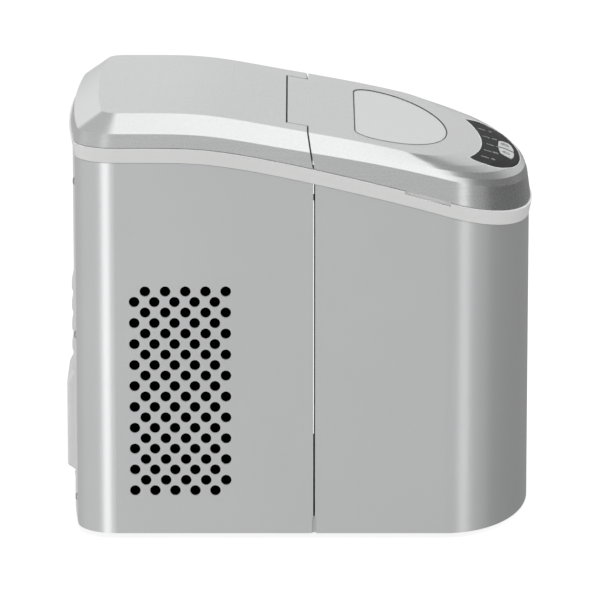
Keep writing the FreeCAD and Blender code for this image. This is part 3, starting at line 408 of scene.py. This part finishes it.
# %% The wet side
white = Finish("white moulding", (0.76, 0.775, 0.775), 0.34, shift=0.015, grain=2600, height=0.006)
basket_white = Finish("basket moulding", (0.70, 0.725, 0.73), 0.30, shift=0.02, grain=1800, height=0.006)
basket_white.set("Transmission Weight", 0.15)
nickel = Finish("nickel plating", (0.66, 0.64, 0.61), 0.20, metallic=1.0, shift=0.05, grain=700, height=0.003)
copper = Finish("copper tube", (0.74, 0.38, 0.24), 0.28, metallic=1.0, shift=0.05, grain=500, height=0.004)
handled = copper.range(copper.noise(60, 4), 0.0, 0.7, 0.5, 0.75)
copper.tone = copper.mixed(handled, copper.tone, (0.33, 0.16, 0.10))
copper.wire()
foam = Finish("rigid foam", (0.74, 0.68, 0.50), 0.9, shift=0.06, grain=420, height=0.05)
foam.emboss(foam.cells(500).outputs["Distance"], 0.3).wire()
grey_rubber = Finish("grey silicone", (0.36, 0.37, 0.38), 0.55, shift=0.04, grain=1500, height=0.01)
hose = Finish("clear silicone hose", (0.74, 0.77, 0.76), 0.3, shift=0.03, grain=900, height=0.004)
hose.set("Transmission Weight", 0.4)
dress(white, "inner_tub", "tub_stand", "drain_outlet", "evaporator_cover", "water_tray", "ice_chute",
      "pump_impeller", "board_shelf")
dress(basket_white, "ice_basket")
dress(nickel, "evaporator_block", "freezing_fingers", "hot_gas_valve")
dress(copper, "evaporator_tube", "condenser_bends", "filter_drier", "discharge_line", "suction_line",
      "capillary_line")
dress(foam, "tub_insulation")
dress(grey_rubber, "lid_seal")
dress(hose, "water_inlet", "water_hose")

# %% [markdown]
# ### The machine side
# The compressor is stoved in black enamel, and brackets are zinc plate with its faint spangle. The
# condenser's fins get a dead black with no gloss, painted shade that makes the round vents in front
# of it read as black holes. Circuit boards get tracks: thin cells of a paler green under the solder mask.

# %% The machine side
black_rubber = Finish("black rubber", (0.022, 0.022, 0.022), 0.7, shift=0.1, grain=1200, height=0.02)
enamel = Finish("black enamel", (0.012, 0.012, 0.013), 0.3, shift=0.1, grain=600, height=0.01)
enamel.set("Coat Weight", 0.4)
# Painted shade: dead black fins without any gloss stand in for the shade behind the round vents.
vent_shade_black = Finish("fins in painted shade black", (0.003, 0.003, 0.003), 0.95, shift=0.1, grain=600, height=0.01)
vent_shade_black.set("Specular IOR Level", 0.0)
black_moulding = Finish("black moulding", (0.02, 0.02, 0.021), 0.5, shift=0.08, grain=2400, height=0.012)
zinc = Finish("zinc plate", (0.60, 0.61, 0.61), 0.34, metallic=1.0, shift=0.03, grain=300, height=0.003)
spangle = zinc.tree.nodes.new("ShaderNodeRGBToBW")
zinc.link(zinc.cells(160).outputs["Color"], spangle.inputs["Color"])
zinc.tone = zinc.mixed(zinc.range(spangle.outputs["Val"], 0.0, 0.35, 0.2, 0.8), zinc.tone, (0.42, 0.43, 0.44))
zinc.wire()
resist = Finish("green solder mask", (0.02, 0.13, 0.05), 0.3, shift=0.1, grain=1800, height=0.002)
tracks = resist.range(resist.cells(160, "DISTANCE_TO_EDGE").outputs["Distance"], 1.0, 0.0, 0.05, 0.09)
resist.tone = resist.mixed(tracks, resist.tone, (0.06, 0.26, 0.10))
resist.emboss(tracks, 0.03).wire()
dress(black_rubber, "drain_plug", "compressor_grommets", "cable_gland", "rubber_feet")
dress(enamel, "compressor", "fan_motor")
dress(vent_shade_black, "condenser")
dress(black_moulding, "tray_motor", "water_level_sensor", "ice_full_sensors", "terminal_box", "fan_shroud",
      "fan_blades", "pump_housing", "board_components")
dress(zinc, "hinge_pins", "bulkhead", "compressor_plate", "fan_bracket", "shelf_frame")
dress(resist, "control_board", "main_board")

# %% [markdown]
# ## Lines laid on the lid
# The gasket, the bead and the printed symbols all follow the lid's crown. Each is drawn flat, from
# above, and then dropped straight down on to the CAD surface. A shrinkwrap modifier could do this,
# but a ray cast gives the exact height of each point and leaves a clean mesh.


# %% Drop a flat drawing on to the crown
def tree_of(*names):
    vertices, faces = [], []
    for name in names:
        mesh = nodes[name].data
        start = len(vertices)
        vertices += [v.co.copy() for v in mesh.vertices]
        faces += [[start + i for i in p.vertices] for p in mesh.polygons]
    return BVHTree.FromPolygons(vertices, faces)


def dropped(tree, x, y, lift):
    hit = tree.ray_cast(Vector((x, y, 1.0)), Vector((0, 0, -1)))[0]
    return None if hit is None else hit + Vector((0, 0, lift))


def cord_mesh(mesh, points, radius, closed, sides=8):
    """A thin round bead along points, added to a bmesh."""
    rings = []
    count = len(points)
    for i, here in enumerate(points):
        before = points[i - 1] if closed or i else here
        after = points[(i + 1) % count] if closed or i < count - 1 else here
        ahead = (after - before).normalized()
        across = ahead.cross(Vector((0, 0, 1))).normalized()
        up = across.cross(ahead)
        spokes = [math.cos(math.tau * k / sides) * across + math.sin(math.tau * k / sides) * up
                  for k in range(sides)]
        rings.append([mesh.verts.new(here + radius * spoke) for spoke in spokes])
    last = count if closed else count - 1
    for i in range(last):
        low, high = rings[i], rings[(i + 1) % count]
        for k in range(sides):
            mesh.faces.new((low[k], low[(k + 1) % sides], high[(k + 1) % sides], high[k]))
    if not closed:
        mesh.faces.new(rings[0][::-1])
        mesh.faces.new(rings[-1])


def piece(name, mesh, body, finish):
    """Turn a bmesh into a named piece that rides on a body."""
    data = bpy.data.meshes.new(name)
    for face in mesh.faces:
        face.smooth = True
    mesh.to_mesh(data)
    mesh.free()
    made = bpy.data.objects.new(name, data)
    bpy.context.collection.objects.link(made)
    data.materials.append(finish.material)
    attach(made, body)
    print(name, "has", len(data.polygons), "faces")


def beads(name, tree, strokes, radius, lift, body, finish):
    """One piece made of strokes, each (list of (x, y), closed), laid on a surface."""
    mesh = bmesh.new()
    for stroke, closed in strokes:
        points = [dropped(tree, x, y, lift) for x, y in stroke]
        cord_mesh(mesh, [p for p in points if p is not None], radius, closed)
    bmesh.ops.recalc_face_normals(mesh, faces=mesh.faces)
    piece(name, mesh, body, finish)

# %% [markdown]
# ### Gasket round the window
# The window sits in its opening with a thin dark line all round, laid on the opening's rim. Its
# outline is half an ellipse in front, closed by a straight edge behind with two round shoulders.
# The CAD window's own box gives the sizes.

# %% Gasket round the window
window_low, window_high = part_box("lid_window")


def arc_points(start, through, end, count):
    """Points of a circle's arc through three (x, y) places."""
    (ax, ay), (bx, by), (cx, cy) = start, through, end
    d = 2 * (ax * (by - cy) + bx * (cy - ay) + cx * (ay - by))
    a2, b2, c2 = ax * ax + ay * ay, bx * bx + by * by, cx * cx + cy * cy
    ux = (a2 * (by - cy) + b2 * (cy - ay) + c2 * (ay - by)) / d
    uy = (a2 * (cx - bx) + b2 * (ax - cx) + c2 * (bx - ax)) / d
    radius = math.hypot(ax - ux, ay - uy)
    angles = [math.atan2(y - uy, x - ux) for x, y in (start, through, end)]
    sweep = (angles[2] - angles[0]) % math.tau
    if (angles[1] - angles[0]) % math.tau > sweep:
        sweep -= math.tau
    return [(ux + radius * math.cos(angles[0] + sweep * i / count),
             uy + radius * math.sin(angles[0] + sweep * i / count)) for i in range(count)]


def half_ellipse(half, belly, tip, count=72):
    """From the right end round the front to the left end."""
    return [(half * math.cos(math.pi * i / count), belly - (belly - tip) * math.sin(math.pi * i / count))
            for i in range(count + 1)]


def window_line(grow):
    half, tip, rear = window_high[0] + grow, window_low[1] - grow, window_high[1] + grow
    belly = rear - 18.5 * MM
    left = arc_points((-half, belly), (-half + 3.6 * MM, rear - 6.6 * MM), (-half + 17 * MM, rear), 10)
    right = arc_points((half - 17 * MM, rear), (half - 3.6 * MM, rear - 6.6 * MM), (half, belly), 10)
    back = [(-half + 17 * MM + (2 * half - 34 * MM) * i / 12, rear) for i in range(12)]
    return half_ellipse(half, belly, tip)[:-1] + left + back + right


GASKET_OUT = 0.7 * MM
GASKET_RADIUS = 0.36 * MM
GASKET_SUNK = 0.10 * MM
gasket_black = Finish("gasket", (0.07, 0.07, 0.07), 0.6, shift=0.05, grain=2500, height=0.004)
beads("window_gasket", tree_of("lid_shell", "lid_window"), [(window_line(GASKET_OUT), True)],
      GASKET_RADIUS, -GASKET_SUNK, "lid", gasket_black)

# %% [markdown]
# ### Bead round the control panel
# The charcoal panel is a crescent let into the lid's nose, with a thin pale bead on the rim round
# it. The panel's own box gives the sizes.

# %% Bead round the control panel
panel_low, panel_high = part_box("control_panel")


def crescent_line(grow):
    half, tip, rear = panel_high[0] + grow, panel_low[1] - grow, panel_high[1] + grow
    belly, inner = rear - 12.65 * MM, rear - 11.4 * MM
    left = arc_points((-half, belly), (-half + 1.6 * MM, rear - 3.6 * MM), (-half + 6 * MM, rear), 6)
    back = arc_points((-half + 6 * MM, rear), (0, inner), (half - 6 * MM, rear), 48)
    right = arc_points((half - 6 * MM, rear), (half - 1.6 * MM, rear - 3.6 * MM), (half, belly), 6)
    return half_ellipse(half, belly, tip)[:-1] + left + back + right


BEAD_OUT = 0.6 * MM
BEAD_RADIUS = 0.45 * MM
BEAD_SUNK = 0.12 * MM
bead_grey = Finish("pale bead", (0.80, 0.81, 0.81), 0.3, shift=0.02, grain=2500, height=0.002)
beads("panel_bead", tree_of("lid_shell", "control_panel"), [(crescent_line(BEAD_OUT), True)],
      BEAD_RADIUS, -BEAD_SUNK, "lid", bead_grey)

# %% [markdown]
# ### Symbols
# Each lamp has a small printed symbol in front of it, and each button has one on its face: plain
# signs that any kitchen machine might carry. They are thin strokes laid half into the surface, a
# fifth of a millimetre proud, like thick ink.


# %% Draw the symbols
def loop(cx, cy, rx, ry, count=20, start=0.0, sweep=math.tau):
    return [(cx + rx * math.cos(start + sweep * i / count), cy + ry * math.sin(start + sweep * i / count))
            for i in range(count + (sweep < math.tau))]


def stroke(*corners, steps=5):
    points = []
    for (ax, ay), (bx, by) in zip(corners, corners[1:]):
        points += [(ax + (bx - ax) * i / steps, ay + (by - ay) * i / steps) for i in range(steps)]
    return points + [corners[-1]]


def small_cube(cx, cy, side):
    s = side / 2
    return [(stroke((cx - s, cy - s), (cx + s, cy - s), (cx + s, cy + s), (cx - s, cy + s)), True),
            (stroke((cx - s, cy + s), (cx - s * 0.4, cy + s * 1.6), (cx + s * 1.6, cy + s * 1.6)), False),
            (stroke((cx + s * 1.6, cy + s * 1.6), (cx + s * 1.6, cy - s * 0.4), (cx + s, cy - s)), False)]


def drop_sign(cx, cy, size):
    low = loop(cx, cy - size * 0.2, size * 0.5, size * 0.5, 14, math.radians(150), math.radians(240))
    return [(low + [(cx, cy + size * 0.75)], True)]


def basket_sign(cx, cy, size):
    return [(stroke((cx - size, cy + size * 0.6), (cx - size * 0.6, cy - size * 0.6),
                    (cx + size * 0.6, cy - size * 0.6), (cx + size, cy + size * 0.6)), False)]


def power_sign(cx, cy, size):
    return [(loop(cx, cy, size, size, 20, math.radians(125), math.radians(290)), False),
            (stroke((cx, cy + size * 0.2), (cx, cy + size * 1.25)), False)]


LAMP_COUNT = 5
LAMP_HALF_WIDTH = 0.6 * MM
SIGN_RADIUS = 0.20 * MM
BUTTON_SIGN_RADIUS = 0.26 * MM
lamp_low, lamp_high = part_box("indicator_lights")
lamp_step = (lamp_high[0] - lamp_low[0] - 2 * LAMP_HALF_WIDTH) / (LAMP_COUNT - 1)
signs = []
for number in range(LAMP_COUNT):
    x = lamp_low[0] + LAMP_HALF_WIDTH + number * lamp_step
    y = lamp_low[1] + abs(x) * 0.12 - 3.7 * MM
    if number in (0, 1):
        signs += small_cube(x, y, (1.9 + 0.9 * number) * MM)
    elif number == 2:
        signs += [(loop(x, y + 1.2 * MM, 1.1 * MM, 1.1 * MM, 16), True)]
    elif number == 3:
        signs += drop_sign(x, y, 2.6 * MM)
    else:
        signs += basket_sign(x, y, 1.9 * MM)
beads("panel_signs", tree_of("control_panel"), signs, SIGN_RADIUS, 0.0, "lid", print_grey)
for name in ("power_button", "select_button"):
    low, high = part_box(name)
    cx, cy = (low[0] + high[0]) / 2, (low[1] + high[1]) / 2 + 0.3 * MM
    if name == "power_button":
        marks = power_sign(cx, cy, 2.6 * MM)
    else:
        marks = small_cube(cx - 1 * MM, cy - 0.5 * MM, 4.2 * MM)
    beads(name + "_sign", tree_of(name), marks, BUTTON_SIGN_RADIUS, 0.0, name, dark_print)

# %% [markdown]
# ## Screws
# The back is held on with cross-head screws. A screw's head is a shallow dome with a cross sunk in
# it. It could be cut with a boolean, but a fine disc whose points are lowered inside the cross is
# simpler and never fails.


# %% One screw head
DOME = 0.45
CROSS_DEPTH = 0.32


def screw_head(mesh, place, outward, radius, rings=12, sides=32):
    """Add a head to a bmesh: its middle at place, facing outward."""
    turn = Vector(outward).to_track_quat("Z", "Y").to_matrix().to_4x4()
    frame_of_head = Matrix.Translation(place) @ turn
    arm, reach = 0.17 * radius, 0.58 * radius
    circles = []
    for ring in range(1, rings + 1):
        r = radius * ring / rings
        row = []
        for k in range(sides):
            x, y = r * math.cos(math.tau * k / sides), r * math.sin(math.tau * k / sides)
            z = DOME * radius * math.cos(math.pi / 2 * (r / radius) ** 1.6)
            if (abs(x) < arm and abs(y) < reach) or (abs(y) < arm and abs(x) < reach):
                z -= CROSS_DEPTH * radius
            row.append(mesh.verts.new(frame_of_head @ Vector((x, y, z))))
        circles.append(row)
    top = mesh.verts.new(frame_of_head @ Vector((0, 0, (DOME - CROSS_DEPTH) * radius)))
    foot = [mesh.verts.new(frame_of_head @ Vector((radius * math.cos(math.tau * k / sides),
                                                   radius * math.sin(math.tau * k / sides), -0.5 * radius)))
            for k in range(sides)]
    circles.append(foot)
    for k in range(sides):
        after = (k + 1) % sides
        mesh.faces.new((top, circles[0][k], circles[0][after]))
        for inner, outer in zip(circles, circles[1:]):
            mesh.faces.new((inner[k], outer[k], outer[after], inner[after]))
    mesh.faces.new(foot[::-1])


def behind(tree, x, z):
    """The rearmost point of a surface at a place seen from behind."""
    return tree.ray_cast(Vector((x, 1.0, z)), Vector((0, -1, 0)))[0]


# %% Screws on the back
PANEL_SCREW = 3.2 * MM
HUMP_SCREW = 2.6 * MM
SCREW_HEIGHTS = (22 * MM, 150 * MM, 270 * MM)
back_tree = tree_of("rear_panel")
hump_low, hump_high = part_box("rear_hump")
back_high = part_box("rear_panel")[1]
mesh = bmesh.new()
spots = [(side * (back_high[0] - 7 * MM), z) for side in (-1, 1) for z in SCREW_HEIGHTS]
for x, z in spots:
    screw_head(mesh, behind(back_tree, x, z), (0, 1, 0), PANEL_SCREW)
under, over = hump_low[2] - 4.4 * MM, hump_high[2] + 2 * MM
for x, z in ((hump_low[0] + 9 * MM, under), (hump_high[0] - 9 * MM, under), (hump_high[0] - 14 * MM, over)):
    screw_head(mesh, behind(back_tree, x, z), (0, 1, 0), HUMP_SCREW)
piece("back_screws", mesh, "housing", zinc)
